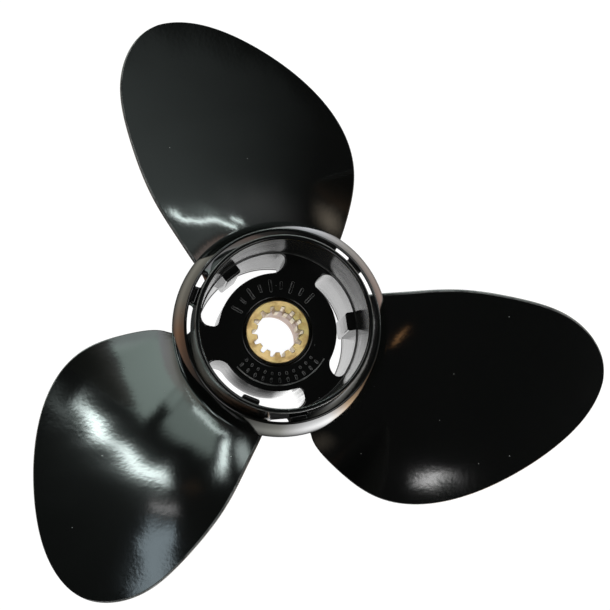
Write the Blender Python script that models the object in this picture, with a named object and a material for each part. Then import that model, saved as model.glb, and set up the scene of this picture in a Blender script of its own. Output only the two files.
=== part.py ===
# Outboard motor propeller, right-hand, for a shaft with exhaust through the hub.
# One aluminium casting carries the barrel, the inner hub, the outer ring and three blades. A rubber bush is
# pressed into the inner hub, and a splined brass sleeve is held in the bush.
# Lengths are in metres. +Z runs along the shaft and points aft, and the barrel's forward rim is at z = 0.
# +X points through the middle of one exhaust passage.

import math

import bmesh
import bpy
import numpy as np
from mathutils import Matrix, Vector

# Blades
BLADE_COUNT = 3
TIP_RADIUS = 0.130
PITCH = 0.254
RAKE = math.radians(15.0)
BLADE_AZIMUTH = math.radians(87.0)
BLADE_ROOT_HEIGHT = 0.032
BLADE_INNER_RADIUS = 0.036
# Blade outline: radius, then leading and trailing edge in degrees from the blade's root centre line
BLADE_OUTLINE = (
    (0.036, -36.0, 46.0),
    (0.043, -42.0, 44.2),
    (0.050, -40.9, 42.3),
    (0.060, -37.9, 40.0),
    (0.070, -35.0, 37.9),
    (0.080, -30.6, 35.9),
    (0.090, -23.9, 33.7),
    (0.100, -15.8, 31.3),
    (0.110, -6.6, 28.8),
    (0.120, 2.5, 25.5),
    (0.129, 12.4, 19.1),
)
OUTLINE_DEGREE = 6
ROOT_THICKNESS = 0.0115
TIP_THICKNESS = 0.0028
THINNING_POWER = 0.8
EDGE_THICKNESS = 0.0016
FACE_POINTS = 11
NOSE_ANGLES = (-45.0, 0.0, 45.0)
FILLET_RADIUS = 0.007
FILLET_STEPS = (0.036, 0.17, 0.40, 0.68, 1.0)
SPAN_STEPS = 17
EMBEDDED_DEPTH = 0.0006
# The fillet thins out over this last share of the chord, by this share of itself, towards the trailing edge
TRAILING_SHARE = 0.4
TRAILING_THINNING = 0.65

# Barrel, the hub's outer tube, which widens from its forward rim to the ring
BARREL_LENGTH = 0.105
BARREL_FRONT_RADIUS = 0.0319
BARREL_RADIUS = 0.035
BARREL_TAPER_START = 0.076
BARREL_LIP_RADIUS = 0.0340
LIP_BORE_RADIUS = 0.0328
AFT_BORE_RADIUS = 0.0316
FRONT_BORE_RADIUS = 0.0309
RIM_CHAMFER = 0.0006

# Inner hub with its aft bulkhead, and the exhaust passages round it
CORE_FRONT = 0.008
CORE_AFT = 0.062
CORE_RADIUS = 0.0235
PASSAGE_RADIUS = 0.0306
PASSAGE_HALF_ANGLE = math.radians(44.5)
PASSAGE_OVERRUN = 0.003
PASSAGE_ARC_STEPS = 14
PASSAGE_END_STEPS = 6
BUSH_CAVITY_RADIUS = 0.0198
BULKHEAD_THICKNESS = 0.004
BULKHEAD_BORE_RADIUS = 0.0134

# Lugs on the barrel's inner wall, one in the middle of each passage
LUG_WIDTH = 0.0072
LUG_INNER_RADIUS = 0.0276
LUG_OUTER_RADIUS = 0.0319
LUG_FRONT = 0.012
LUG_AFT = 0.0625

# Outer ring round the barrel's aft end, on three struts: radius and height, forward edge to aft edge
RING_OUTSIDE = ((0.0422, 0.0765), (0.0421, 0.0800), (0.0413, 0.0850), (0.0399, 0.0895), (0.0379, 0.0930))
RING_INSIDE = ((0.0369, 0.0927), (0.0382, 0.0880), (0.0392, 0.0825), (0.0398, 0.0765))
STRUT_AZIMUTH = math.radians(31.9)
STRUT_WIDTH = 0.0068
STRUT_OUTLINE = ((0.0338, 0.0785), (0.0407, 0.0785), (0.0382, 0.0910), (0.0338, 0.0910))

# Rubber bush and splined sleeve, each a little clear of its neighbour
SEAT_GAP = 0.0003
BUSH_FRONT = 0.012
SLEEVE_FRONT = 0.004
SLEEVE_AFT = 0.0628
SLEEVE_RADIUS = 0.0125
SPLINE_COUNT = 14
SPLINE_PHASE = math.radians(-8.5)
SPLINE_MAJOR_RADIUS = 0.0101
SPLINE_MINOR_RADIUS = 0.0081
SPLINE_FRONT = 0.044
COUNTERBORE_RADIUS = 0.0102
# Share of one spline's pitch: half of the groove at its bottom, and half of it at the bore
GROOVE_BOTTOM_SHARE = 0.16
GROOVE_MOUTH_SHARE = 0.29

HUB_SEGMENTS = 72
SLEEVE_SEGMENTS = 56
SHARP_ANGLE = math.radians(35.0)
MERGE_DISTANCE = 0.000001


def clear_scene():
    for item in list(bpy.data.objects):
        bpy.data.objects.remove(item, do_unlink=True)


def paint(name, colour, roughness, metallic, coat=0.0):
    material = bpy.data.materials.new(name)
    material.use_nodes = True
    shader = material.node_tree.nodes["Principled BSDF"]
    shader.inputs["Base Color"].default_value = (*colour, 1.0)
    shader.inputs["Roughness"].default_value = roughness
    shader.inputs["Metallic"].default_value = metallic
    shader.inputs["Coat Weight"].default_value = coat
    return material


def finish_mesh(name, bm):
    bmesh.ops.remove_doubles(bm, verts=bm.verts, dist=MERGE_DISTANCE)
    bmesh.ops.recalc_face_normals(bm, faces=bm.faces)
    mesh = bpy.data.meshes.new(name)
    bm.to_mesh(mesh)
    bm.free()
    mesh.shade_smooth()
    mesh.set_sharp_from_angle(angle=SHARP_ANGLE)
    item = bpy.data.objects.new(name, mesh)
    bpy.context.collection.objects.link(item)
    return item


def as_tool(item):
    item.hide_render = True
    item.display_type = "WIRE"
    return item


def combine(item, tool, operation):
    modifier = item.modifiers.new(tool.name, "BOOLEAN")
    modifier.object = tool
    modifier.operation = operation
    modifier.solver = "EXACT"


def turned(name, profile, segments):
    """A closed outline of radius and height, turned once round the shaft."""
    bm = bmesh.new()
    verts = [bm.verts.new((radius, 0.0, height)) for radius, height in profile]
    edges = [bm.edges.new(pair) for pair in zip(verts, verts[1:] + verts[:1])]
    bmesh.ops.spin(
        bm, geom=verts + edges, cent=(0.0, 0.0, 0.0), axis=(0.0, 0.0, 1.0),
        angle=math.tau, steps=segments, use_merge=True,
    )
    return finish_mesh(name, bm)


def extruded(bm, outline, bottom, top):
    """A flat outline in x and y, carried up from one height to another."""
    face = bm.faces.new([bm.verts.new((x, y, bottom)) for x, y in outline])
    grown = bmesh.ops.extrude_face_region(bm, geom=[face])
    moved = [part for part in grown["geom"] if isinstance(part, bmesh.types.BMVert)]
    bmesh.ops.translate(bm, verts=moved, vec=(0.0, 0.0, top - bottom))


def radial_blocks(name, outline, width, azimuth, count):
    """Blocks of one width round the shaft, from an outline of radius and height."""
    bm = bmesh.new()
    for index in range(count):
        turn = Matrix.Rotation(azimuth + index * math.tau / count, 3, "Z")
        near = [bm.verts.new(turn @ Vector((radius, -width / 2, height))) for radius, height in outline]
        grown = bmesh.ops.extrude_face_region(bm, geom=[bm.faces.new(near)])
        moved = [part for part in grown["geom"] if isinstance(part, bmesh.types.BMVert)]
        bmesh.ops.translate(bm, verts=moved, vec=turn @ Vector((0.0, width, 0.0)))
    return finish_mesh(name, bm)


def polar(radius, angle):
    return (radius * math.cos(angle), radius * math.sin(angle))


def barrel_and_core():
    """The barrel and the solid inner hub as one turned body, before the passages are cut."""
    profile = (
        (FRONT_BORE_RADIUS, 0.0),
        (BARREL_FRONT_RADIUS, 0.0),
        (BARREL_RADIUS, BARREL_TAPER_START),
        (BARREL_LIP_RADIUS, BARREL_LENGTH - RIM_CHAMFER),
        (BARREL_LIP_RADIUS - RIM_CHAMFER / 2, BARREL_LENGTH),
        (LIP_BORE_RADIUS, BARREL_LENGTH),
        (AFT_BORE_RADIUS, CORE_AFT),
        (BULKHEAD_BORE_RADIUS, CORE_AFT),
        (BULKHEAD_BORE_RADIUS, CORE_AFT - BULKHEAD_THICKNESS),
        (BUSH_CAVITY_RADIUS, CORE_AFT - BULKHEAD_THICKNESS),
        (BUSH_CAVITY_RADIUS, CORE_FRONT),
        (AFT_BORE_RADIUS, CORE_FRONT),
    )
    return turned("propeller_casting", profile, HUB_SEGMENTS)


def passage_outline(azimuth):
    """An arc-shaped slot between two radii with round ends."""
    middle = (CORE_RADIUS + PASSAGE_RADIUS) / 2
    end_radius = (PASSAGE_RADIUS - CORE_RADIUS) / 2
    sweep = PASSAGE_HALF_ANGLE - math.asin(end_radius / middle)
    outer = [azimuth + sweep * (2 * step / PASSAGE_ARC_STEPS - 1) for step in range(PASSAGE_ARC_STEPS + 1)]
    points = [polar(PASSAGE_RADIUS, angle) for angle in outer]
    points += round_end(middle, end_radius, azimuth + sweep, 0.0)
    points += [polar(CORE_RADIUS, angle) for angle in reversed(outer)]
    points += round_end(middle, end_radius, azimuth - sweep, math.pi)
    return points


def round_end(middle, end_radius, angle, start):
    centre = Vector(polar(middle, angle))
    points = []
    for step in range(1, PASSAGE_END_STEPS):
        turn = angle + start + math.pi * step / PASSAGE_END_STEPS
        points.append(tuple(centre + Vector(polar(end_radius, turn))))
    return points


def passages():
    bm = bmesh.new()
    for index in range(BLADE_COUNT):
        outline = passage_outline(index * math.tau / BLADE_COUNT)
        extruded(bm, outline, CORE_FRONT - PASSAGE_OVERRUN, CORE_AFT + PASSAGE_OVERRUN)
    return as_tool(finish_mesh("passage_cutters", bm))


def lugs():
    inner = LUG_INNER_RADIUS
    outer = LUG_OUTER_RADIUS
    outline = ((inner, LUG_FRONT), (outer, LUG_FRONT), (outer, LUG_AFT), (inner, LUG_AFT))
    return as_tool(radial_blocks("passage_lugs", outline, LUG_WIDTH, 0.0, BLADE_COUNT))


def struts():
    return as_tool(radial_blocks("ring_struts", STRUT_OUTLINE, STRUT_WIDTH, STRUT_AZIMUTH, BLADE_COUNT))


def outer_ring():
    return as_tool(turned("outer_ring", RING_OUTSIDE + RING_INSIDE, HUB_SEGMENTS))


class BladeShape:
    """Middle line and half width of the blade at any radius, from its outline."""

    def __init__(self):
        radii = np.array([row[0] for row in BLADE_OUTLINE])
        leading = np.radians([row[1] for row in BLADE_OUTLINE])
        trailing = np.radians([row[2] for row in BLADE_OUTLINE])
        fullness = (trailing - leading) / 2 * radii / self.ellipse(radii)
        self.middle_line = np.polyfit(self.span(radii), (leading + trailing) / 2, OUTLINE_DEGREE)
        self.fullness = np.polyfit(self.span(radii), fullness, OUTLINE_DEGREE)

    @staticmethod
    def span(radius):
        return (radius - BLADE_INNER_RADIUS) / (TIP_RADIUS - BLADE_INNER_RADIUS)

    @classmethod
    def ellipse(cls, radius):
        return np.sqrt(np.maximum(1.0 - cls.span(radius) ** 2, 0.0))

    def middle(self, radius):
        return float(np.polyval(self.middle_line, self.span(radius)))

    def half_chord(self, radius):
        return float(np.polyval(self.fullness, self.span(radius)) * self.ellipse(radius))


def thickness_at(radius):
    share = BladeShape.span(radius)
    return ROOT_THICKNESS + (TIP_THICKNESS - ROOT_THICKNESS) * share ** THINNING_POWER if share > 0 else ROOT_THICKNESS


def section_outline(half_chord, thickness):
    """A blade section: x along the chord, y towards the forward face, the flat aft face at y = 0."""
    nose = min(EDGE_THICKNESS, half_chord) / 2
    reach = half_chord - nose
    stops = [reach * math.sin(math.pi / 2 * (2 * step / (FACE_POINTS - 1) - 1)) for step in range(FACE_POINTS)]
    flat = [(x, 0.0) for x in stops]
    bulge = thickness - 2 * nose
    arched = [(x, 2 * nose + bulge * (1 - (x / reach) ** 2)) for x in reversed(stops)]
    trailing = [nose_point(reach, nose, math.radians(angle)) for angle in NOSE_ANGLES]
    leading = [nose_point(-reach, nose, math.pi + math.radians(angle)) for angle in NOSE_ANGLES]
    return flat + trailing + arched + leading


def nose_point(x, nose, angle):
    return (x + nose * math.cos(angle), nose + nose * math.sin(angle))


def swell(outline, distance):
    """The outline moved outwards by a distance, less so at the trailing edge, for the fillet at the root."""
    points = [Vector(point) for point in outline]
    reach = max(point.x for point in points)
    swollen = []
    for before, point, after in zip(points[-1:] + points[:-1], points, points[1:] + points[:1]):
        along = (after - before).normalized()
        late = max(0.0, (point.x / reach - 1.0 + TRAILING_SHARE) / TRAILING_SHARE)
        kept = distance * (1.0 - TRAILING_THINNING * late ** 2)
        swollen.append(point + kept * Vector((along.y, -along.x)))
    return swollen


def barrel_inset(height):
    """How much nearer to the shaft the barrel's outer wall is at a height than at the ring."""
    share = min(max(height / BARREL_TAPER_START, 0.0), 1.0)
    return (BARREL_RADIUS - BARREL_FRONT_RADIUS) * (1.0 - share)


def fillet_offset(height):
    share = max(0.0, 1.0 - height / FILLET_RADIUS)
    return FILLET_RADIUS * (1.0 - math.sqrt(1.0 - share * share))


def section_points(shape, radius, outline_radius, offset, azimuth, kept=0.0):
    """One blade section wrapped round the shaft, along the pitch helix, with a share of the barrel's inset."""
    half_chord = shape.half_chord(outline_radius)
    pitch_angle = math.atan2(PITCH, math.tau * outline_radius)
    middle = shape.middle(outline_radius)
    base = BLADE_ROOT_HEIGHT + PITCH * middle / math.tau
    base += math.tan(RAKE) * (outline_radius - BLADE_INNER_RADIUS)
    outline = section_outline(half_chord / math.cos(pitch_angle), thickness_at(outline_radius))
    points = []
    for x, y in swell(outline, offset):
        round_the_shaft = x * math.cos(pitch_angle) + y * math.sin(pitch_angle)
        along_the_shaft = x * math.sin(pitch_angle) - y * math.cos(pitch_angle)
        angle = azimuth + middle + round_the_shaft / outline_radius
        height = base + along_the_shaft
        points.append((*polar(radius - kept * barrel_inset(height), angle), height))
    return points


def blade_sections(shape, azimuth):
    widest = fillet_offset(FILLET_STEPS[0] * FILLET_RADIUS)
    buried = BARREL_RADIUS - EMBEDDED_DEPTH
    rings = [section_points(shape, buried, BLADE_INNER_RADIUS, widest, azimuth, 1.0)]
    for share in FILLET_STEPS:
        radius = BARREL_RADIUS + share * FILLET_RADIUS
        offset = fillet_offset(radius - BARREL_RADIUS)
        rings.append(section_points(shape, radius, max(radius, BLADE_INNER_RADIUS), offset, azimuth, 1.0 - share))
    start = math.asin(shape.span(BARREL_RADIUS + FILLET_RADIUS))
    for step in range(1, SPAN_STEPS):
        turn = start + (math.pi / 2 - start) * step / SPAN_STEPS
        radius = BLADE_INNER_RADIUS + (TIP_RADIUS - BLADE_INNER_RADIUS) * math.sin(turn)
        rings.append(section_points(shape, radius, radius, 0.0, azimuth))
    return rings


def close_root(bm, ring):
    """Faces across the thickness, so that the blade's inner end keeps to the barrel's round wall."""
    noses = len(NOSE_ANGLES)
    flat = ring[:FACE_POINTS]
    trailing = ring[FACE_POINTS:FACE_POINTS + noses]
    arched = ring[FACE_POINTS + noses:2 * FACE_POINTS + noses][::-1]
    leading = ring[-noses:]
    for a, b, c, d in zip(flat, arched, arched[1:], flat[1:]):
        bm.faces.new((a, b, c, d))
    bm.faces.new([flat[-1], arched[-1]] + trailing[::-1])
    bm.faces.new([arched[0], flat[0]] + leading[::-1])


def blades():
    bm = bmesh.new()
    shape = BladeShape()
    for index in range(BLADE_COUNT):
        azimuth = BLADE_AZIMUTH + index * math.tau / BLADE_COUNT
        rings = [[bm.verts.new(point) for point in ring] for ring in blade_sections(shape, azimuth)]
        for lower, upper in zip(rings, rings[1:]):
            for a, b, c, d in zip(lower, lower[1:] + lower[:1], upper[1:] + upper[:1], upper):
                bm.faces.new((a, b, c, d))
        close_root(bm, rings[0])
        tip_angle = azimuth + shape.middle(TIP_RADIUS)
        tip_height = sum(vert.co.z for vert in rings[-1]) / len(rings[-1])
        tip = bm.verts.new((*polar(TIP_RADIUS, tip_angle), tip_height))
        for a, b in zip(rings[-1], rings[-1][1:] + rings[-1][:1]):
            bm.faces.new((a, b, tip))
    return as_tool(finish_mesh("blades", bm))


def casting():
    item = barrel_and_core()
    combine(item, passages(), "DIFFERENCE")
    combine(item, lugs(), "UNION")
    combine(item, struts(), "UNION")
    combine(item, outer_ring(), "UNION")
    combine(item, blades(), "UNION")
    item.data.materials.append(paint("gloss_black_paint", (0.012, 0.014, 0.013), 0.12, 0.0, coat=1.0))


def rubber_bush():
    inner = SLEEVE_RADIUS + SEAT_GAP
    outer = BUSH_CAVITY_RADIUS - SEAT_GAP
    aft = CORE_AFT - BULKHEAD_THICKNESS - SEAT_GAP
    profile = ((inner, BUSH_FRONT), (outer, BUSH_FRONT), (outer, aft), (inner, aft))
    item = turned("rubber_bush", profile, HUB_SEGMENTS)
    item.data.materials.append(paint("black_rubber", (0.02, 0.02, 0.02), 0.8, 0.0))


def spline_outline():
    pitch = math.tau / SPLINE_COUNT
    points = []
    for index in range(SPLINE_COUNT):
        centre = SPLINE_PHASE + index * pitch
        points.append(polar(SPLINE_MINOR_RADIUS, centre - GROOVE_MOUTH_SHARE * pitch))
        points.append(polar(SPLINE_MAJOR_RADIUS, centre - GROOVE_BOTTOM_SHARE * pitch))
        points.append(polar(SPLINE_MAJOR_RADIUS, centre + GROOVE_BOTTOM_SHARE * pitch))
        points.append(polar(SPLINE_MINOR_RADIUS, centre + GROOVE_MOUTH_SHARE * pitch))
    return points


def splined_sleeve():
    profile = (
        (COUNTERBORE_RADIUS, SLEEVE_FRONT),
        (SLEEVE_RADIUS - RIM_CHAMFER, SLEEVE_FRONT),
        (SLEEVE_RADIUS, SLEEVE_FRONT + RIM_CHAMFER),
        (SLEEVE_RADIUS, SLEEVE_AFT - RIM_CHAMFER),
        (SLEEVE_RADIUS - RIM_CHAMFER, SLEEVE_AFT),
        (SPLINE_MINOR_RADIUS / 2, SLEEVE_AFT),
        (SPLINE_MINOR_RADIUS / 2, SPLINE_FRONT),
        (COUNTERBORE_RADIUS, SPLINE_FRONT),
    )
    item = turned("splined_sleeve", profile, SLEEVE_SEGMENTS)
    bm = bmesh.new()
    extruded(bm, spline_outline(), SPLINE_FRONT - PASSAGE_OVERRUN, SLEEVE_AFT + PASSAGE_OVERRUN)
    combine(item, as_tool(finish_mesh("spline_broach", bm)), "DIFFERENCE")
    item.data.materials.append(paint("brass", (0.62, 0.46, 0.20), 0.3, 1.0))


def build():
    clear_scene()
    casting()
    rubber_bush()
    splined_sleeve()


build()
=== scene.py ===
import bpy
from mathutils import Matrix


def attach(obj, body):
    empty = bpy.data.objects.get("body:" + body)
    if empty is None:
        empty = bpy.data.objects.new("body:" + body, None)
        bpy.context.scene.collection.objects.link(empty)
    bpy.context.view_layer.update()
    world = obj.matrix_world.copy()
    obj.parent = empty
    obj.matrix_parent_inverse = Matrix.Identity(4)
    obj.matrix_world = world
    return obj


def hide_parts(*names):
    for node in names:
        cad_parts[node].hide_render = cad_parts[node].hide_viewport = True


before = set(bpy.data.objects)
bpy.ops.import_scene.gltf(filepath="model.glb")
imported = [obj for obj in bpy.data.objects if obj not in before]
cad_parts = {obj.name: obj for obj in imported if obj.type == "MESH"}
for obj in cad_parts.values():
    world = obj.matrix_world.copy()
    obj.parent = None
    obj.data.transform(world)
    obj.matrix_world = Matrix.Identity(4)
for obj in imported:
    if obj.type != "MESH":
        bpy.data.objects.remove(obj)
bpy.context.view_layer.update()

import math

import bmesh
import bpy
import numpy as np
from mathutils import Matrix, Quaternion, Vector

# The hub: an outer tube that carries the blades, and an inner hub that three wide ribs hold inside it.
# It is cast in aluminium in one piece with the ring and the blades, turned at its bore and rims, and the
# whole casting is painted gloss black over the as-cast skin.

HUB_STEPS = 216
TUBE_FRONT = 0.0319
TUBE = 0.0350
TUBE_AFT = 0.0343
TUBE_LENGTH = 0.105
TAPER_HEIGHT = 0.076
LIP_BORE = 0.0325
CUP_WALL = 0.0316
RECESS_WALL = 0.0311
NUT_HOLE = 0.0134
BUSH_SEAT = 0.0198
HUB_AFT_FACE = 0.062
HUB_FRONT_FACE = 0.008
HUB_OUTLINE = (
    (0.0309, 0.0),
    (TUBE_FRONT, 0.0),
    (TUBE, TAPER_HEIGHT),
    (TUBE_AFT, TUBE_LENGTH),
    (LIP_BORE, TUBE_LENGTH),
    (CUP_WALL, HUB_AFT_FACE),
    (NUT_HOLE, HUB_AFT_FACE),
    (NUT_HOLE, 0.058),
    (BUSH_SEAT, 0.058),
    (BUSH_SEAT, HUB_FRONT_FACE),
    (RECESS_WALL, HUB_FRONT_FACE),
)
# Radius and height of each rounded edge, how far the rounding reaches, and its segments.
HUB_ROUNDINGS = (
    (TUBE_FRONT, 0.0, 0.0004, 3),
    (TUBE_AFT, TUBE_LENGTH, 0.0003, 4),
    (LIP_BORE, TUBE_LENGTH, 0.0007, 5),
    (CUP_WALL, HUB_AFT_FACE, 0.0002, 3),
    (RECESS_WALL, HUB_FRONT_FACE, 0.0002, 3),
    (NUT_HOLE, HUB_AFT_FACE, 0.0007, 5),
    (BUSH_SEAT, HUB_FRONT_FACE, 0.0008, 4),
)
NEAR = 0.0001


def turned(name, outline, steps, start=0.0, sweep=math.tau):
    """A closed outline of radius and height, spun anticlockwise round the shaft or part of the way."""
    bpy.ops.object.select_all(action="DESELECT")
    bpy.ops.mesh.primitive_circle_add(vertices=len(outline), radius=0.01, fill_type="NGON")
    piece = bpy.context.object
    piece.name = piece.data.name = name
    bpy.ops.object.mode_set(mode="EDIT")
    shape = bmesh.from_edit_mesh(piece.data)
    for corner, (radius, height) in zip(shape.verts, outline):
        corner.co = (radius * math.cos(start), radius * math.sin(start), height)
    bmesh.update_edit_mesh(piece.data)
    bpy.ops.mesh.select_all(action="SELECT")
    if sweep == math.tau:
        bpy.ops.mesh.delete(type="ONLY_FACE")
        bpy.ops.mesh.select_all(action="SELECT")
    bpy.ops.mesh.spin(steps=steps, angle=-sweep, center=(0.0, 0.0, 0.0), axis=(0.0, 0.0, 1.0))
    bpy.ops.mesh.select_all(action="SELECT")
    bpy.ops.mesh.remove_doubles(threshold=0.000001)
    bpy.ops.mesh.normals_make_consistent(inside=False)
    bpy.ops.object.mode_set(mode="OBJECT")
    return piece


def bevel_edges(piece, wanted, width, segments):
    """Rounds the edges whose two ends are both wanted."""
    bpy.context.view_layer.objects.active = piece
    bpy.ops.object.mode_set(mode="EDIT")
    bpy.ops.mesh.select_mode(type="EDGE")
    bpy.ops.mesh.select_all(action="DESELECT")
    shape = bmesh.from_edit_mesh(piece.data)
    for edge in shape.edges:
        edge.select_set(all(wanted(corner.co) for corner in edge.verts))
    bpy.ops.mesh.bevel(offset=width, segments=segments, affect="EDGES")
    bpy.ops.object.mode_set(mode="OBJECT")


def on_ring(radius, height):
    """A test for corners that lie on the circle of this radius at this height."""
    def wanted(place):
        return abs(math.hypot(place.x, place.y) - radius) < NEAR and abs(place.z - height) < NEAR
    return wanted


hub = turned("cast_hub", HUB_OUTLINE, HUB_STEPS)
for ring_radius, ring_height, width, segments in HUB_ROUNDINGS:
    bevel_edges(hub, on_ring(ring_radius, ring_height), width, segments)

# Exhaust passages between the ribs: arc-shaped slots with round corners, the clockwise inner one the
# roundest, and rounded edges at both mouths. They are cored in the casting, no two quite equally long.

PASSAGE_INNER = 0.0235
PASSAGE_OUTER = 0.0311
PASSAGE_OUTER_FRONT = 0.0307
# The two ends of each passage, in degrees from its middle.
PASSAGE_ENDS = ((-45.2, 44.4), (-44.5, 46.6), (-44.0, 44.8))
# For each corner of a slot: 1 at the anticlockwise end, 1 at the outer wall, and the corner's radius.
PASSAGE_CORNERS = ((1, 1, 0.0046), (0, 1, 0.0027), (0, 0, 0.0049), (1, 0, 0.0020))
PASSAGE_MOUTH = 0.0005
FRONT_MOUTH_SHARE = 0.7
PAST_FACE = 0.003
WALL_SHARE = 0.7
WALL_POINTS = 29
CORNER_POINTS = 9


def around(radius, angle, height):
    return Vector((radius * math.cos(angle), radius * math.sin(angle), height))


def stacked(name, layers):
    """A closed solid: a flat plate with the first layer's corners, pulled up from layer to layer."""
    bpy.ops.object.select_all(action="DESELECT")
    bpy.ops.mesh.primitive_circle_add(vertices=len(layers[0]), radius=0.01, fill_type="NGON")
    piece = bpy.context.object
    piece.name = piece.data.name = name
    bpy.ops.object.mode_set(mode="EDIT")
    for number, layer in enumerate(layers):
        if number:
            bpy.ops.mesh.extrude_region()
        shape = bmesh.from_edit_mesh(piece.data)
        for corner, place in zip([vert for vert in shape.verts if vert.select], layer):
            corner.co = place
        bmesh.update_edit_mesh(piece.data)
    bpy.ops.mesh.select_all(action="SELECT")
    bpy.ops.mesh.normals_make_consistent(inside=False)
    bpy.ops.object.mode_set(mode="OBJECT")
    return piece


def turned_copies(piece, count):
    """Copies of a piece, each with its own mesh, evenly round the shaft."""
    copies = [piece]
    for number in range(1, count):
        copy = piece.copy()
        copy.data = piece.data.copy()
        copy.data.transform(Matrix.Rotation(number * math.tau / count, 4, "Z"))
        bpy.context.collection.objects.link(copy)
        copies.append(copy)
    return copies


def cut(piece, tool):
    """Takes the tool's space out of the piece, and the tool with it."""
    bpy.ops.object.select_all(action="DESELECT")
    bpy.context.view_layer.objects.active = piece
    piece.select_set(True)
    change = piece.modifiers.new("cut", "BOOLEAN")
    change.object = tool
    change.operation = "DIFFERENCE"
    change.solver = "MANIFOLD"
    bpy.ops.object.modifier_apply(modifier=change.name)
    bpy.data.objects.remove(tool)


def passage_layer(ends, outer, grown, height):
    """The slot's outline at a height: a rectangle with round corners, bent round the shaft."""
    middle = (PASSAGE_INNER + outer) / 2
    corners = []
    for quarter, (end, outside, bend) in enumerate(PASSAGE_CORNERS):
        along = middle * ends[end] + bend * (1 - 2 * end)
        radius = outer - bend if outside else PASSAGE_INNER + bend
        if quarter % 2:
            side = outer + grown if outside else PASSAGE_INNER - grown
            reach = np.linspace(ends[1 - end] * WALL_SHARE, ends[end] * WALL_SHARE, WALL_POINTS)
            corners += [around(side, angle, height) for angle in reach]
        for turn in np.radians(np.linspace(90.0 * quarter, 90.0 * quarter + 90.0, CORNER_POINTS)):
            across = along + (bend + grown) * math.cos(turn)
            corners.append(around(radius + (bend + grown) * math.sin(turn), across / middle, height))
    return corners


mouth = []
for turn in np.radians((0, 22, 45, 68, 88)):
    mouth.append((PASSAGE_MOUTH * (1 - math.cos(turn)), PASSAGE_MOUTH * (1 - math.sin(turn))))
front_mouth = [(FRONT_MOUTH_SHARE * grown, depth) for grown, depth in reversed(mouth)]
widest = FRONT_MOUTH_SHARE * PASSAGE_MOUTH
for number, ends in enumerate(np.radians(PASSAGE_ENDS)):
    layers = [passage_layer(ends, PASSAGE_OUTER_FRONT, widest, HUB_FRONT_FACE - PAST_FACE)]
    for grown, depth in front_mouth:
        layers.append(passage_layer(ends, PASSAGE_OUTER_FRONT, grown, HUB_FRONT_FACE + depth))
    for grown, depth in mouth:
        layers.append(passage_layer(ends, PASSAGE_OUTER, grown, HUB_AFT_FACE - depth))
    layers.append(passage_layer(ends, PASSAGE_OUTER, PASSAGE_MOUTH, HUB_AFT_FACE + PAST_FACE))
    passage = stacked("passage", layers)
    passage.data.transform(Matrix.Rotation(number * math.tau / 3, 4, "Z"))
    cut(hub, passage)

# Lugs: three small pads that stand on the tube's inner wall, one in the middle of each passage.
# They are part of the same aluminium casting and painted with it, and their inner edges are rounded.

LUG_SIZE = (0.0043, 0.0072, 0.0505)
LUG_MIDDLE = (0.02975, 0.0, 0.03725)
LUG_EDGES_INSIDE = 0.0280


def joined(pieces):
    """Several pieces as one, under the first one's name."""
    bpy.ops.object.select_all(action="DESELECT")
    for piece in pieces:
        piece.select_set(True)
    bpy.context.view_layer.objects.active = pieces[0]
    bpy.ops.object.join()
    return pieces[0]


bpy.ops.object.select_all(action="DESELECT")
bpy.ops.mesh.primitive_cube_add(size=1.0, location=LUG_MIDDLE, scale=LUG_SIZE)
lug = bpy.context.object
lug.name = lug.data.name = "passage_lugs"
bpy.ops.object.transform_apply(location=True, rotation=False, scale=True)
bevel_edges(lug, lambda place: place.x < LUG_EDGES_INSIDE, 0.0008, 5)
lugs = joined(turned_copies(lug, 3))


class Socket:
    """A shader socket on which Python's own operators work, each of them through one Math node."""

    def __init__(self, nodes, source):
        self.nodes = nodes
        self.source = source

    def maths(self, operation, first, second=0.0):
        return self.nodes.add("ShaderNodeMath", {"operation": operation}, {0: first, 1: second})

    def __add__(self, other):
        return self.maths("ADD", self, other)

    def __sub__(self, other):
        return self.maths("SUBTRACT", self, other)

    def __rsub__(self, other):
        return self.maths("SUBTRACT", other, self)

    def __mul__(self, other):
        return self.maths("MULTIPLY", self, other)

    def __truediv__(self, other):
        return self.maths("DIVIDE", self, other)

    def __pow__(self, other):
        return self.maths("POWER", self, other)

    def above(self, level, width):
        """0 below a level and 1 above it, with a soft step of this width."""
        settings = {"interpolation_type": "SMOOTHSTEP"}
        return self.nodes.add("ShaderNodeMapRange", settings, {0: self, 1: level - width, 2: level + width})

    __radd__ = __add__
    __rmul__ = __mul__


class Nodes:
    """The nodes of a material, a light or the world, and the one way in which they are added."""

    def __init__(self, tree):
        self.tree = tree

    def add(self, kind, settings, sockets, output=0):
        node = self.tree.nodes.new(kind)
        for setting, value in settings.items():
            setattr(node, setting, value)
        for socket, value in sockets.items():
            self.feed(node.inputs[socket], value)
        return Socket(self, node.outputs[output])

    def feed(self, socket, value):
        if isinstance(value, Socket):
            self.tree.links.new(value.source, socket)
        else:
            socket.default_value = value

    def split(self, vector):
        """The three parts of a vector."""
        node = self.add("ShaderNodeSeparateXYZ", {}, {0: vector}).source.node
        return [Socket(self, output) for output in node.outputs]

    def blend(self, factor, first, second):
        return self.add("ShaderNodeMix", {"data_type": "RGBA"}, {0: factor, 6: first, 7: second}, 2)


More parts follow.
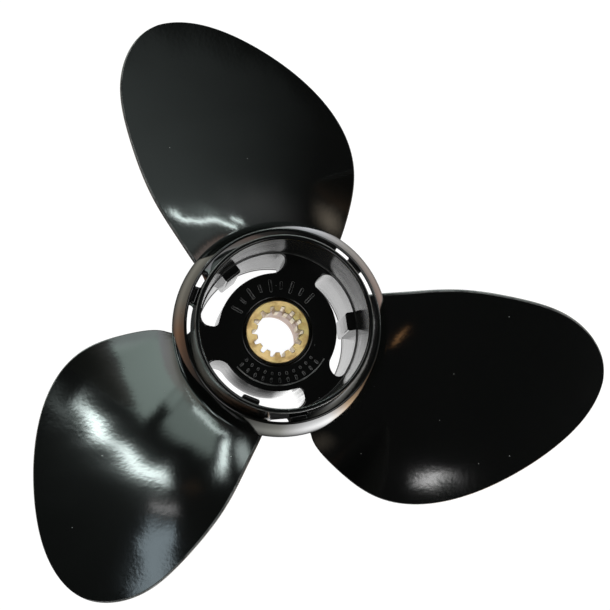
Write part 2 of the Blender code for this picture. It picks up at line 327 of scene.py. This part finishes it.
class Finish(Nodes):
    """A material, and the shader that shows it."""

    def __init__(self, name, **uniform):
        self.material = bpy.data.materials.new(name)
        self.material.use_nodes = True
        super().__init__(self.material.node_tree)
        self.shader = self.tree.nodes["Principled BSDF"]
        self.place = self.add("ShaderNodeTexCoord", {}, {}, "Object")
        for socket, value in uniform.items():
            self.shader.inputs[socket.replace("_", " ")].default_value = value

    def noise(self, scale, detail=2.0, roughness=0.5):
        sockets = {"Vector": self.place, "Scale": scale, "Detail": detail, "Roughness": roughness}
        return self.add("ShaderNodeTexNoise", {}, sockets)

    def bump(self, height, depth, under=None):
        sockets = {"Strength": 1.0, "Distance": depth, "Height": height}
        if under:
            sockets["Normal"] = under
        return self.add("ShaderNodeBump", {}, sockets)

    def show(self, **varying):
        for socket, value in varying.items():
            self.feed(self.shader.inputs[socket.replace("_", " ")], value)


# The paint: gloss black enamel with its own faint orange peel, over a casting whose skin is a little uneven,
# and a few specks of dust that dried into it.

SPECK_SIZE = 0.021
FACE_EDGE = 0.0225
WALL_START = 0.03125
LIP_START = TUBE_LENGTH - 0.0008
LINE_STRETCH = (40.0, 40.0, 2600.0)

black_paint = Finish("gloss_black_paint", IOR=1.5)
specks = black_paint.add(
    "ShaderNodeTexVoronoi", {"feature": "F1"},
    {"Vector": black_paint.place, "Scale": 120.0, "Randomness": 1.0}, "Distance",
)
speck = 1 - specks.above(SPECK_SIZE, 0.006)
clouds = black_paint.noise(28.0)
shade = black_paint.blend(clouds, (0.0012, 0.0016, 0.0015, 1.0), (0.0026, 0.0030, 0.0026, 1.0))
# Inside the tube the casting was turned before it was thinly painted: fine rings show, and it is dull.
# On the tube's aft edge, the blades' edges and the rounded rims of the raised marks the paint is lighter
# grey: partly rubbed thin, partly a painted highlight for the light that glints along these edges.
east, north, height = black_paint.split(black_paint.place)
radius = (east * east + north * north) ** 0.5
in_cup = height.above(HUB_AFT_FACE - 0.0007, 0.0002)
in_tube = (1 - (radius - 0.0011 * in_cup).above(CUP_WALL, 0.00008)) * height.above(0.0003, 0.0001)
cup_floor = in_cup * (1 - radius.above(WALL_START, 0.0001))
walls = in_tube * (1 - height.above(LIP_START, 0.0002)) * (1 - cup_floor)
# Painted highlight and wear: these masks lighten the tube's aft rim, the marks' rims and the blades' edges.
rim_wear_and_highlight = radius.above(TUBE_AFT - 0.0004, 0.0001) * height.above(TUBE_LENGTH - 0.0005, 0.0001)
mark_rims = height.above(HUB_AFT_FACE + 0.0003, 0.0001) * (1 - height.above(HUB_AFT_FACE + 0.00072, 0.00004))
mark_wear_and_highlight = mark_rims * (1 - radius.above(FACE_EDGE, 0.0001))
blade_edge = black_paint.add("ShaderNodeAttribute", {"attribute_name": "blade_edge"}, {}, "Fac")
patches = black_paint.noise(110.0, 4.0, 0.7).above(0.45, 0.12)
wear_and_highlight = (rim_wear_and_highlight * 0.2 + mark_wear_and_highlight * 0.75 + blade_edge * 0.35) * (0.25 + 0.75 * patches)
line_sockets = {0: black_paint.place, 1: LINE_STRETCH}
stretch = black_paint.add("ShaderNodeVectorMath", {"operation": "MULTIPLY"}, line_sockets)
noise_sockets = {"Vector": stretch, "Scale": 1.0, "Detail": 3.0, "Roughness": 0.6}
lines = black_paint.add("ShaderNodeTexNoise", {}, noise_sockets)
dull = black_paint.blend(lines.above(0.5, 0.12), (0.012, 0.013, 0.012, 1.0), (0.060, 0.062, 0.058, 1.0))
enamel = black_paint.blend(speck, shade, (0.30, 0.32, 0.31, 1.0))
# Painted highlight: the edges and rims are blended towards light grey.
enamel = black_paint.blend(wear_and_highlight, enamel, (0.30, 0.31, 0.30, 1.0))
black_paint.show(
    Base_Color=black_paint.blend(walls, enamel, dull),
    Roughness=0.095 + 0.3 * speck + 0.25 * wear_and_highlight + walls * (0.02 + 0.14 * lines),
)
uneven = black_paint.bump(black_paint.noise(42.0, 1.0), 0.00022)
peel = black_paint.bump(black_paint.noise(620.0, 2.0, 0.5), 0.000013, uneven)
black_paint.show(Normal=black_paint.bump(speck, 0.00006, peel))


def fit(piece, finish, node):
    """Shades a finished piece evenly, paints it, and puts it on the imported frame."""
    bpy.ops.object.select_all(action="DESELECT")
    piece.select_set(True)
    bpy.context.view_layer.objects.active = piece
    bpy.ops.object.shade_smooth_by_angle(angle=math.radians(42))
    even = piece.modifiers.new("even", "WEIGHTED_NORMAL")
    even.keep_sharp = True
    bpy.ops.object.modifier_apply(modifier=even.name)
    piece.data.materials.clear()
    piece.data.materials.append(finish.material)
    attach(piece, "root")
    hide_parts(node)


fit(hub, black_paint, "propeller_casting")
fit(lugs, black_paint, "propeller_casting")

# The outer ring: a flared collar round the tube's aft end, which throws the exhaust clear of the blades.
# It is part of the same casting, and three short struts hold it off the tube, with a gap that shows through.

RING_HEIGHTS = (0.0765, 0.0800, 0.0850, 0.0895, 0.0930)
RING_OUTSIDE = (0.0422, 0.0421, 0.0413, 0.0399, 0.0379)
RING_INSIDE = (0.0398, 0.03955, 0.0388, 0.0377, 0.0369)
RING_POINTS = 19
# Which corner of the ring's outline is rounded, how far the rounding reaches, and its segments.
RING_ROUNDINGS = ((RING_POINTS - 1, 0.0004, 4), (RING_POINTS, 0.0003, 3), (0, 0.0006, 3), (-1, 0.0006, 3))

outside = np.polyfit(RING_HEIGHTS, RING_OUTSIDE, 3)
inside = np.polyfit(RING_HEIGHTS, RING_INSIDE, 3)
heights = np.linspace(RING_HEIGHTS[0], RING_HEIGHTS[-1], RING_POINTS)
outline = [(float(np.polyval(outside, height)), height) for height in heights]
outline += [(float(np.polyval(inside, height)), height) for height in reversed(heights)]
ring = turned("outer_ring", outline, HUB_STEPS)
for corner, width, segments in RING_ROUNDINGS:
    bevel_edges(ring, on_ring(*outline[corner]), width, segments)

STRUT_ANGLE = math.radians(31.9)
STRUT_WIDTH = 0.0068
STRUT_HEIGHTS = (0.0785, 0.0908)
STRUT_CORNER = 0.0007
STRUT_FLARE = 0.0011
STRUT_FLARE_SHARE = 0.30
STRUT_SUNK_IN_TUBE = -0.0005
STRUT_SUNK_IN_RING = 0.0004


def strut_layer(share, grown, sunk=0.0):
    """The strut's cross-section at a share of the way from the tube to the ring, grown by its fillets."""
    corners = []
    for side, lift, start in ((1, 1, 0.0), (-1, 1, 90.0), (-1, -1, 180.0), (1, -1, 270.0)):
        for angle in np.radians(np.linspace(start, start + 90.0, 5)):
            across = side * (STRUT_WIDTH / 2 - STRUT_CORNER) + (STRUT_CORNER + grown) * math.cos(angle)
            height = STRUT_HEIGHTS[1] - STRUT_CORNER if lift > 0 else STRUT_HEIGHTS[0] + STRUT_CORNER
            height += (STRUT_CORNER + grown) * math.sin(angle)
            tube = TUBE - (TUBE - TUBE_AFT) * (height - TAPER_HEIGHT) / (TUBE_LENGTH - TAPER_HEIGHT)
            radius = tube + (float(np.polyval(inside, height)) - tube) * share + sunk
            corners.append((math.sqrt(radius ** 2 - across ** 2), across, height))
    return corners


flare = []
for turn in np.radians((0.0, 20.0, 42.0, 65.0, 90.0)):
    flare.append((STRUT_FLARE_SHARE * (1 - math.cos(turn)), STRUT_FLARE * (1 - math.sin(turn))))
layers = [strut_layer(0.0, STRUT_FLARE, STRUT_SUNK_IN_TUBE)]
layers += [strut_layer(share, grown) for share, grown in flare]
layers += [strut_layer(1 - share, grown) for share, grown in reversed(flare)]
layers.append(strut_layer(1.0, STRUT_FLARE, STRUT_SUNK_IN_RING))
strut = stacked("ring_struts", layers)
strut.data.transform(Matrix.Rotation(STRUT_ANGLE, 4, "Z"))
struts = joined(turned_copies(strut, 3))

fit(ring, black_paint, "propeller_casting")
fit(struts, black_paint, "propeller_casting")

# The blades: three broad blades of 254 mm pitch, raked aft, their aft faces true helices and their forward
# faces arched. They are cast with the hub and blended into it by a round fillet, and their rounded edges
# are painted over.

PITCH = 0.254
RAKE = math.radians(15.0)
BLADE_ANGLE = math.radians(87.0)
BLADE_HEIGHT = 0.032
ROOT = 0.036
TIP = 0.1300
# Radius, and the leading and trailing edges' angles in degrees, at eleven sections.
BLADE_OUTLINE = np.array((
    (0.036, -36.0, 46.0),
    (0.043, -42.0, 44.2),
    (0.050, -40.9, 42.3),
    (0.060, -37.9, 40.0),
    (0.070, -35.0, 37.9),
    (0.080, -30.6, 35.9),
    (0.090, -23.9, 33.7),
    (0.100, -15.8, 31.3),
    (0.110, -6.6, 28.8),
    (0.120, 2.5, 25.5),
    (0.129, 12.4, 19.1),
))
ROOT_THICKNESS = 0.0115
TIP_THICKNESS = 0.0028
THINNING = 0.8
EDGE_THICKNESS = 0.0016
FULL_BULGE_CHORD = 0.025
FILLET = 0.0070
FILLET_FADE_START = 0.6
FILLET_FADE = 0.65
RIM_HEIGHT = 0.0003
SUNK = 0.0344
FACE_POINTS = 61
NOSE_POINTS = 9
FILLET_ROWS = 14
SPAN_ROWS = 90
EDGE_START_ROWS = 10

radii = BLADE_OUTLINE[:, 0]
leading = np.radians(BLADE_OUTLINE[:, 1])
trailing = np.radians(BLADE_OUTLINE[:, 2])
spans = (radii - ROOT) / (TIP - ROOT)
middle_line = np.polyfit(spans, (leading + trailing) / 2, 6)
fullness = np.polyfit(spans, (trailing - leading) / 2 * radii / np.sqrt(1 - spans ** 2), 6)


def blade_section(radius):
    """Half the chord round the shaft, the middle line's angle, and the thickness at a radius."""
    span = min(max((radius - ROOT) / (TIP - ROOT), 0.0), 1.0)
    half = np.polyval(fullness, span) * math.sqrt(1 - span ** 2)
    thickness = ROOT_THICKNESS + (TIP_THICKNESS - ROOT_THICKNESS) * span ** THINNING
    return half, np.polyval(middle_line, span), thickness


def tube_inset(height):
    """How much nearer to the shaft the tube's outer wall is at a height than at the ring."""
    return (TUBE - TUBE_FRONT) * np.clip(1 - height / TAPER_HEIGHT, 0.0, 1.0)


def blade_row(radius, section_radius, swollen=0.0, kept=0.0, flattened=False):
    """Points round one section: the aft face, the trailing nose, the forward face and the leading nose."""
    half, middle, thickness = blade_section(section_radius)
    pitch_angle = math.atan2(PITCH, math.tau * section_radius)
    chord = half / math.cos(pitch_angle)
    nose = min(EDGE_THICKNESS, chord) / 2
    reach = chord - nose
    stops = reach * np.sin(np.linspace(-math.pi / 2, math.pi / 2, FACE_POINTS))
    turn = np.linspace(-math.pi / 2, math.pi / 2, NOSE_POINTS + 2)[1:-1]
    bulge = (thickness - 2 * nose) * min(1.0, chord / FULL_BULGE_CHORD)
    arch = 2 * nose + bulge * (1 - (stops / max(reach, 1e-9)) ** 2)
    x = np.concatenate((stops, reach + nose * np.cos(turn), stops[::-1], -reach - nose * np.cos(turn)))
    y = np.concatenate((0 * stops, nose + nose * np.sin(turn), arch[::-1], nose - nose * np.sin(turn)))
    if kept:
        along = np.stack((np.roll(x, -1) - np.roll(x, 1), np.roll(y, -1) - np.roll(y, 1)))
        along = along / np.hypot(*along)
        late = np.clip((x / x.max() - FILLET_FADE_START) / (1 - FILLET_FADE_START), 0.0, 1.0)
        swollen = swollen * (1 - FILLET_FADE * late ** 2)
        x, y = x + swollen * along[1], y - swollen * along[0]
    if flattened:
        y = np.full_like(y, thickness / 2)
        x[:FACE_POINTS] = x[FACE_POINTS + NOSE_POINTS:2 * FACE_POINTS + NOSE_POINTS][::-1]
    angle = BLADE_ANGLE + middle + (x * math.cos(pitch_angle) + y * math.sin(pitch_angle)) / section_radius
    height = BLADE_HEIGHT + PITCH * middle / math.tau + math.tan(RAKE) * (section_radius - ROOT)
    height = height + x * math.sin(pitch_angle) - y * math.cos(pitch_angle)
    radius = radius - kept * tube_inset(height)
    row = np.stack((radius * np.cos(angle), radius * np.sin(angle), height), axis=1)
    return np.concatenate((row, row[:1]))


rows = [blade_row(SUNK, ROOT, FILLET, 1.0, flattened=True), blade_row(SUNK, ROOT, FILLET, 1.0)]
for turn in np.linspace(0.0, math.pi / 2, FILLET_ROWS):
    radius = TUBE + FILLET * (1 - math.cos(turn))
    rows.append(blade_row(radius, max(radius, ROOT), FILLET * (1 - math.sin(turn)), math.cos(turn)))
first = math.asin((TUBE + FILLET - ROOT) / (TIP - ROOT))
for turn in np.linspace(first, math.pi / 2, SPAN_ROWS)[1:]:
    radius = ROOT + (TIP - ROOT) * math.sin(turn)
    rows.append(blade_row(radius, radius))
rows[-1] = np.tile(rows[-1].mean(axis=0), (len(rows[-1]), 1))
points = np.array(rows)
points[:, :, 2] = np.maximum(points[:, :, 2], RIM_HEIGHT)
edge_share = np.zeros(points.shape[:2])
for first_point in (FACE_POINTS, 2 * FACE_POINTS + NOSE_POINTS):
    edge_share[:, first_point:first_point + NOSE_POINTS] = 1.0
edge_share[-1] = 1.0
edge_share *= np.clip((np.arange(len(rows)) - FILLET_ROWS) / EDGE_START_ROWS, 0.0, 1.0)[:, np.newaxis]

bpy.ops.object.select_all(action="DESELECT")
rows_count, row_length, _ = points.shape
bpy.ops.mesh.primitive_grid_add(x_subdivisions=row_length - 1, y_subdivisions=rows_count - 1, size=0.2)
blade = bpy.context.object
blade.name = blade.data.name = "blade_1"
blade.data.vertices.foreach_set("co", points.reshape(-1))
blade.data.attributes.new("blade_edge", "FLOAT", "POINT").data.foreach_set("value", edge_share.reshape(-1))
blade.data.update()
bpy.ops.object.mode_set(mode="EDIT")
bpy.ops.mesh.select_all(action="SELECT")
bpy.ops.mesh.remove_doubles(threshold=0.000002)
bpy.ops.mesh.normals_make_consistent(inside=False)
bpy.ops.object.mode_set(mode="OBJECT")
for number, copy in enumerate(turned_copies(blade, 3)):
    copy.name = copy.data.name = f"blade_{number + 1}"
    fit(copy, black_paint, "propeller_casting")

# Raised marks: plain cast bars and a border line that stand up to 0.8 mm proud of the inner hub's face,
# round the sleeve. They are cast with the hub and painted with it.

MARK_HEIGHT = 0.0008
MARK_SUNK = 0.0004
BAR_LENGTHS = (0.0052, 0.0034)
LINE_INNER = 0.0209
LINE_OUTER = 0.0215
LINE_TOP = 0.0627
LINE_FOOT = HUB_AFT_FACE - 0.0002
marks = []


def mark(radius, angle, length, width):
    """A bar with round ends and a rounded top, lying along the radius at this angle."""
    bpy.ops.object.select_all(action="DESELECT")
    place = (radius, 0.0, HUB_AFT_FACE + (MARK_HEIGHT - MARK_SUNK) / 2)
    size = (length, width, MARK_HEIGHT + MARK_SUNK)
    bpy.ops.mesh.primitive_cube_add(size=1.0, location=place, scale=size)
    piece = bpy.context.object
    bpy.ops.object.transform_apply(location=True, rotation=False, scale=True)
    bpy.ops.object.mode_set(mode="EDIT")
    bpy.ops.mesh.select_all(action="DESELECT")
    shape = bmesh.from_edit_mesh(piece.data)
    for edge in shape.edges:
        edge.select_set(abs(edge.verts[0].co.z - edge.verts[1].co.z) > NEAR)
    bpy.ops.mesh.bevel(offset=min(length, width) * 0.48, segments=6, affect="EDGES")
    bpy.ops.object.mode_set(mode="OBJECT")
    top = HUB_AFT_FACE + MARK_HEIGHT
    bevel_edges(piece, lambda corner: corner.z > top - NEAR, 0.0004, 5)
    piece.data.transform(Matrix.Rotation(angle, 4, "Z"))
    marks.append(piece)


for number, angle in enumerate(np.radians(np.linspace(38.0, 143.0, 9))):
    mark(0.0184, angle, BAR_LENGTHS[number % 2], 0.0013)
for angle in np.radians(np.linspace(-146.0, -46.0, 11)):
    mark(0.0193, angle, 0.0020, 0.0011)
    mark(0.0166, angle, 0.0014, 0.0011)
border = (
    (LINE_INNER, LINE_FOOT),
    (LINE_OUTER, LINE_FOOT),
    (LINE_OUTER, LINE_TOP),
    (LINE_INNER, LINE_TOP),
)
line = turned("raised_marks", border, 60, math.radians(-148.0), math.radians(110.0))
bevel_edges(line, lambda corner: corner.z > LINE_TOP - NEAR, 0.00022, 3)
raised_marks = joined([line] + marks)
fit(raised_marks, black_paint, "propeller_casting")

# The rubber bush: pressed into the inner hub's bore from the front, it takes up shocks between the sleeve and
# the casting. Its front end shows, with a moulded groove and a lip.

BUSH_OUTLINE = (
    (0.0125, 0.0124), (0.0139, 0.0120), (0.0148, 0.0126), (0.0158, 0.0136), (0.0172, 0.0136),
    (0.0182, 0.0126), (0.0189, 0.0120), (0.0195, 0.0124), (0.0195, 0.0577), (0.0125, 0.0577),
)
bush = turned("moulded_bush", BUSH_OUTLINE, 144)
for groove_corner in (3, 4):
    bevel_edges(bush, on_ring(*BUSH_OUTLINE[groove_corner]), 0.0005, 3)
black_rubber = Finish("black_rubber", Coat_Weight=0.0)
grain = black_rubber.noise(1800.0, 3.0, 0.6)
bloom = black_rubber.noise(90.0, 4.0).above(0.55, 0.2)
black_rubber.show(
    Base_Color=black_rubber.blend(bloom, (0.016, 0.016, 0.016, 1.0), (0.034, 0.033, 0.031, 1.0)),
    Roughness=0.62 + 0.2 * bloom,
    Normal=black_rubber.bump(grain, 0.00002),
)
fit(bush, black_rubber, "rubber_bush")

# The sleeve: turned from brass and held in the bush, with 14 splines for the shaft broached through its aft
# third and a smooth bore in front of them. Its end faces are turned too, which leaves fine rings.

SLEEVE = 0.0125
SMOOTH_BORE = 0.0102
SLEEVE_FRONT_FACE = 0.004
SLEEVE_AFT_FACE = 0.0628
SLEEVE_OUTLINE = (
    (SMOOTH_BORE, SLEEVE_FRONT_FACE),
    (SLEEVE, SLEEVE_FRONT_FACE),
    (SLEEVE, SLEEVE_AFT_FACE),
    (0.0050, SLEEVE_AFT_FACE),
    (0.0050, 0.0440),
    (SMOOTH_BORE, 0.0430),
)
SPLINES = 14
SPLINE_TURN = math.radians(-8.5)
# One groove between two splines: radius, and angle as a share of the splines' spacing.
SPLINE_GROOVE = (
    (0.0081, -0.29), (0.0099, -0.175), (0.0101, -0.13), (0.0101, 0.13), (0.0099, 0.175), (0.0081, 0.29),
)
# How much wider the broached hole is at each height, so that its aft edge is broken.
BROACH = ((0.0, 0.0380), (0.0, 0.0625), (0.0003, 0.06285), (0.0003, 0.0650))

sleeve = turned("brass_sleeve", SLEEVE_OUTLINE, 168)
bevel_edges(sleeve, on_ring(SLEEVE, SLEEVE_AFT_FACE), 0.0004, 3)
bevel_edges(sleeve, on_ring(SLEEVE, SLEEVE_FRONT_FACE), 0.0005, 3)
bevel_edges(sleeve, on_ring(SMOOTH_BORE, SLEEVE_FRONT_FACE), 0.0005, 3)


def spline_layer(grown, height):
    """The outline of the splined hole at a height."""
    spacing = math.tau / SPLINES
    corners = []
    for number in range(SPLINES):
        centre = SPLINE_TURN + number * spacing
        for radius, share in SPLINE_GROOVE:
            corners.append(around(radius + grown, centre + share * spacing, height))
    return corners


cut(sleeve, stacked("broach", [spline_layer(grown, height) for grown, height in BROACH]))

RING_SPACING = 0.00032
brass = Finish("brass", Metallic=1.0)
east, north, height = brass.split(brass.place)
radius = (east * east + north * north) ** 0.5
rings = radius.maths("SINE", radius * (math.tau / RING_SPACING))
stain = brass.noise(240.0, 4.0, 0.6).above(0.56, 0.12)
cloud = brass.noise(75.0, 2.0).above(0.5, 0.2)
tint = brass.blend(cloud, (0.50, 0.42, 0.17, 1.0), (0.76, 0.56, 0.26, 1.0))
# Painted shade: the smooth bore deep inside the sleeve is given a darker, pinker brass; it is also rougher
# there.
bore = (1 - height.above(0.0438, 0.0002)) * (1 - radius.above(0.0105, 0.0001))
tint = brass.blend(bore, tint, (0.46, 0.32, 0.26, 1.0))
brass.show(
    Base_Color=brass.blend(stain * 0.6, tint, (0.42, 0.25, 0.09, 1.0)),
    Roughness=0.24 + 0.18 * height.above(0.0625, 0.0001) + 0.14 * stain + 0.16 * bore,
    Normal=brass.bump(rings, 0.000008),
)
fit(sleeve, brass, "splined_sleeve")

# The table that the propeller stands on: a plain white top, lit from below as product photographers do, so
# that it stays white between and under the blades. What the paint mirrors is dimmer: hardly any light close
# round the hub, a white patch below it in the picture, and warmer patches beside that and at left.

PICTURE_TURN = math.radians(-8.5)
HUB_MOUTH = 0.0309
TABLE_GAIN = 8.0
BRIGHT_FROM = 0.095
PASSAGES_FROM = 0.0235
# The mirrored light round the table, by bearing in degrees from the right of the picture.
TABLE_GLOW = (
    (-180.0, (0.13, 0.07, 0.04)), (-146.0, (0.02, 0.02, 0.02)), (-120.0, (0.02, 0.02, 0.02)),
    (-88.0, (0.24, 0.24, 0.22)), (-72.0, (0.72, 0.72, 0.73)), (-58.0, (0.88, 0.88, 0.88)),
    (-44.0, (0.49, 0.34, 0.21)), (-31.0, (0.16, 0.10, 0.06)), (2.0, (0.03, 0.03, 0.03)),
    (18.0, (0.18, 0.13, 0.11)), (50.0, (0.19, 0.18, 0.17)), (75.0, (0.36, 0.37, 0.39)),
    (100.0, (0.30, 0.30, 0.28)), (118.0, (0.14, 0.14, 0.12)), (160.0, (0.13, 0.12, 0.10)),
)

bpy.ops.object.select_all(action="DESELECT")
bpy.ops.mesh.primitive_circle_add(vertices=96, radius=3.0, fill_type="NGON")
table_top = bpy.context.object
table_top.name = "table_top"
white_top = Finish("white_top", Base_Color=(0.08, 0.08, 0.08, 1.0), Roughness=0.9)
white_top.shader.inputs["Specular IOR Level"].default_value = 0.0
white_top.shader.inputs["Emission Strength"].default_value = 1.0
seen = white_top.add("ShaderNodeLightPath", {}, {}, "Is Camera Ray")
east, north, _ = white_top.split(white_top.place)
radius = (east * east + north * north) ** 0.5
bearing = east.maths("ARCTAN2", north, east) - PICTURE_TURN
around_table = (bearing / math.tau + 0.5).maths("FRACT", bearing / math.tau + 0.5)
colours = white_top.add("ShaderNodeValToRGB", {}, {0: around_table})
ramp = colours.source.node.color_ramp
for angle, colour in TABLE_GLOW:
    stop = ramp.elements[0] if angle == -180.0 else ramp.elements.new(angle / 360.0 + 0.5)
    stop.color = colour + (1.0,)
ramp.elements[len(TABLE_GLOW)].color = TABLE_GLOW[0][1] + (1.0,)
beyond = radius.above(HUB_MOUTH, 0.0002)
white = (1.0, 1.0, 1.0, 1.0)
tint = white_top.blend(beyond, white, colours)
low_passage = bearing.maths("COSINE", bearing + math.radians(108.0)).above(0.85, 0.13)
glow = 1.05 + 0.05 * (1 - radius.above(SLEEVE, 0.002))
dimming = 0.7 * radius.above(0.0247, 0.0008) + 0.27 * radius.above(0.0264, 0.0008)
glow = glow * (1 - low_passage * dimming)
passage_end = bearing.maths("COSINE", bearing + math.radians(74.0)).above(0.982, 0.012)
glow = glow * (1 + 1.2 * passage_end * radius.above(PASSAGES_FROM, 0.0005))
at_top = bearing.maths("SINE", bearing).above(0.93, 0.06)
glow = glow * (1 - 0.35 * at_top * radius.above(PASSAGES_FROM, 0.0005))
glow = glow * (1 - beyond) + TABLE_GAIN * radius.above(BRIGHT_FROM, 0.045) * beyond
# Painted shadow: a thin dark ring on the table, seen by the camera just inside the hub's front rim where it
# stands on the table.
painted_contact_shadow = radius.above(0.0303, 0.0001) * (1 - radius.above(0.0308, 0.0001))
strength = seen * (1 - 0.9 * painted_contact_shadow) + (1 - seen) * glow
light = {0: white_top.blend(seen, tint, white), "Scale": strength}
white_top.show(Emission_Color=white_top.add("ShaderNodeVectorMath", {"operation": "SCALE"}, light))
table_top.data.materials.append(white_top.material)

# Studio light: soft boxes far off round the table, each given by its bearing from the right of the picture,
# its height above the table, its width and height in degrees, and its brightness. Their cloth fades at the
# edges.

BOX_DISTANCE = 12.0
AIM_HEIGHT = 0.05
WATTS_PER_AREA = 4.0


def soft_box(name, bearing, height, wide, high, brightness, colour, feather=(0.15, 0.15), roll=0.0):
    width = 2 * BOX_DISTANCE * math.tan(math.radians(wide / 2))
    tall = 2 * BOX_DISTANCE * math.tan(math.radians(high / 2))
    light = bpy.data.lights.new(name, "AREA")
    light.shape = "RECTANGLE"
    light.size = width
    light.size_y = tall
    light.energy = brightness * WATTS_PER_AREA * width * tall
    light.color = colour
    light.use_nodes = True
    cloth = Nodes(light.node_tree)
    spot = cloth.add("ShaderNodeNewGeometry", {}, {}, "Parametric")
    across, up, _ = cloth.split(spot)
    fade = 1.0
    for share, soft in ((across, feather[0]), (up, feather[1])):
        fade = share.above(soft / 2, soft / 2) * fade
        fade = (1 - share).above(soft / 2, soft / 2) * fade
    cloth.feed(light.node_tree.nodes["Emission"].inputs["Strength"], fade)
    box = bpy.data.objects.new(name, light)
    bpy.context.collection.objects.link(box)
    turn = math.radians(bearing) + PICTURE_TURN
    lift = math.radians(height)
    away = Vector((math.cos(lift) * math.cos(turn), math.cos(lift) * math.sin(turn), math.sin(lift)))
    box.location = away * BOX_DISTANCE + Vector((0.0, 0.0, AIM_HEIGHT))
    box.rotation_mode = "QUATERNION"
    box.rotation_quaternion = away.to_track_quat("Z", "Y") @ Quaternion((0.0, 0.0, 1.0), math.radians(roll))
    box.visible_camera = False


COOL = (0.86, 1.0, 0.97)
PALE_GREEN = (0.80, 1.0, 0.92)
SKY = (0.74, 0.91, 1.0)
WARM = (1.0, 0.85, 0.66)
ORANGE = (1.0, 0.58, 0.30)
EMBER = (1.0, 0.52, 0.22)
WHITE = (1.0, 1.0, 1.0)
soft_box("tube_1", 89.3, 28.1, 20.0, 4.3, 36.0, COOL, (0.5, 0.5), -3.5)
soft_box("tube_2", 106.5, 26.9, 22.0, 4.4, 28.0, COOL, (0.3, 0.5), -3.0)
soft_box("tube_end", 80.0, 32.0, 17.0, 3.4, 2.4, COOL, (0.6, 0.6), -12.0)
soft_box("side_1", 64.9, 11.5, 17.0, 30.0, 2.6, COOL, (0.2, 0.15))
soft_box("side_2", 85.5, 8.0, 31.0, 23.9, 2.9, PALE_GREEN, (0.11, 0.15))
soft_box("side_3", 102.5, 3.0, 9.0, 14.0, 2.4, PALE_GREEN, (0.38, 0.3))
soft_box("side_4", 117.6, 6.4, 27.2, 21.6, 2.0, PALE_GREEN, (0.126, 0.27))
soft_box("haze", 95.0, 36.0, 50.0, 22.0, 0.02, COOL, (0.5, 0.5))
soft_box("warm_card_1", 124.0, 25.0, 12.0, 4.0, 0.9, ORANGE, (0.8, 0.8), -25.0)
soft_box("card_1", 116.6, 39.4, 6.2, 13.0, 4.2, SKY, (0.2, 0.2))
soft_box("card_2", 116.3, 31.4, 8.6, 1.9, 9.5, WHITE, (0.3, 0.7), -8.0)
soft_box("panel_1", 134.0, 12.5, 6.4, 19.0, 20.0, COOL, (0.6, 0.35))
soft_box("panel_2", 142.5, 11.0, 9.0, 18.0, 5.0, COOL, (0.4, 0.4), -15.0)
soft_box("low_strip", 123.5, 2.0, 23.0, 2.2, 14.0, COOL, (0.1, 0.6), 9.0)
soft_box("screen_1", 16.0, 24.0, 88.0, 52.0, 0.46, COOL, (0.6, 0.1))
soft_box("screen_2", 30.0, 24.0, 60.0, 52.0, 0.30, COOL, (0.6, 0.1))
soft_box("screen_foot", -5.0, 10.0, 52.0, 24.0, 0.3, WHITE, (0.5, 0.5))
soft_box("warm_card_2", -38.0, 15.0, 21.0, 12.0, 1.8, WARM, (0.6, 0.5))
soft_box("strip_glow", 15.0, 9.5, 30.0, 10.0, 1.9, PALE_GREEN, (0.6, 0.8), 38.0)
soft_box("strip_1", 24.8, 15.5, 2.8, 6.5, 27.0, COOL, (0.6, 0.3))
soft_box("strip_2", 22.6, 10.9, 7.2, 2.6, 27.0, COOL, (0.15, 0.6), 43.0)
soft_box("strip_3", 16.7, 7.3, 9.2, 2.6, 27.0, COOL, (0.12, 0.6), 26.0)
soft_box("strip_4", 10.6, 3.7, 7.0, 2.5, 27.0, COOL, (0.15, 0.6), 36.0)
soft_box("strip_5", 6.1, 4.9, 6.8, 2.0, 27.0, COOL, (0.25, 0.6), 41.0)
soft_box("lamp", -160.3, 39.7, 8.8, 4.3, 15.0, WHITE, (0.5, 0.6), 45.0)
soft_box("ember", -105.0, 14.2, 12.0, 2.8, 6.0, EMBER, (0.5, 0.7), 32.0)
soft_box("low_left", -171.0, 10.0, 17.0, 12.0, 0.4, WARM, (0.5, 0.5))
for number in range(4):
    soft_box(f"top_{number + 1}", 45.0 + 90.0 * number, 66.0, 24.0, 16.0, 5.5, WHITE, (0.3, 0.3))

# The room round the table: very dark where the paint mirrors it, so that only the soft boxes show in it, and
# nearly white behind the table's edge.

world = bpy.data.worlds.new("studio")
world.use_nodes = True
bpy.context.scene.world = world
room = Nodes(world.node_tree)
seen = room.add("ShaderNodeLightPath", {}, {}, "Is Camera Ray")
walls_colour = room.blend(seen, (0.05, 0.05, 0.05, 1.0), (0.9, 0.9, 0.9, 1.0))
room.feed(world.node_tree.nodes["Background"].inputs["Color"], walls_colour)

# The camera: 1.35 m above the table, a little to the left and below the propeller in the picture, and turned
# so that the picture's right lies 8.5 degrees clockwise of the model's +X.

lens = bpy.data.cameras.new("camera")
lens.sensor_width = 36.0
lens.lens = 193.87
camera = bpy.data.objects.new("camera", lens)
camera.location = (-0.09382, -0.08189, 1.35401)
camera.rotation_euler = [math.radians(angle) for angle in (4.6639, -4.0501, -8.5394)]
bpy.context.collection.objects.link(camera)
bpy.context.scene.camera = camera
bpy.context.scene.view_settings.view_transform = "Standard"
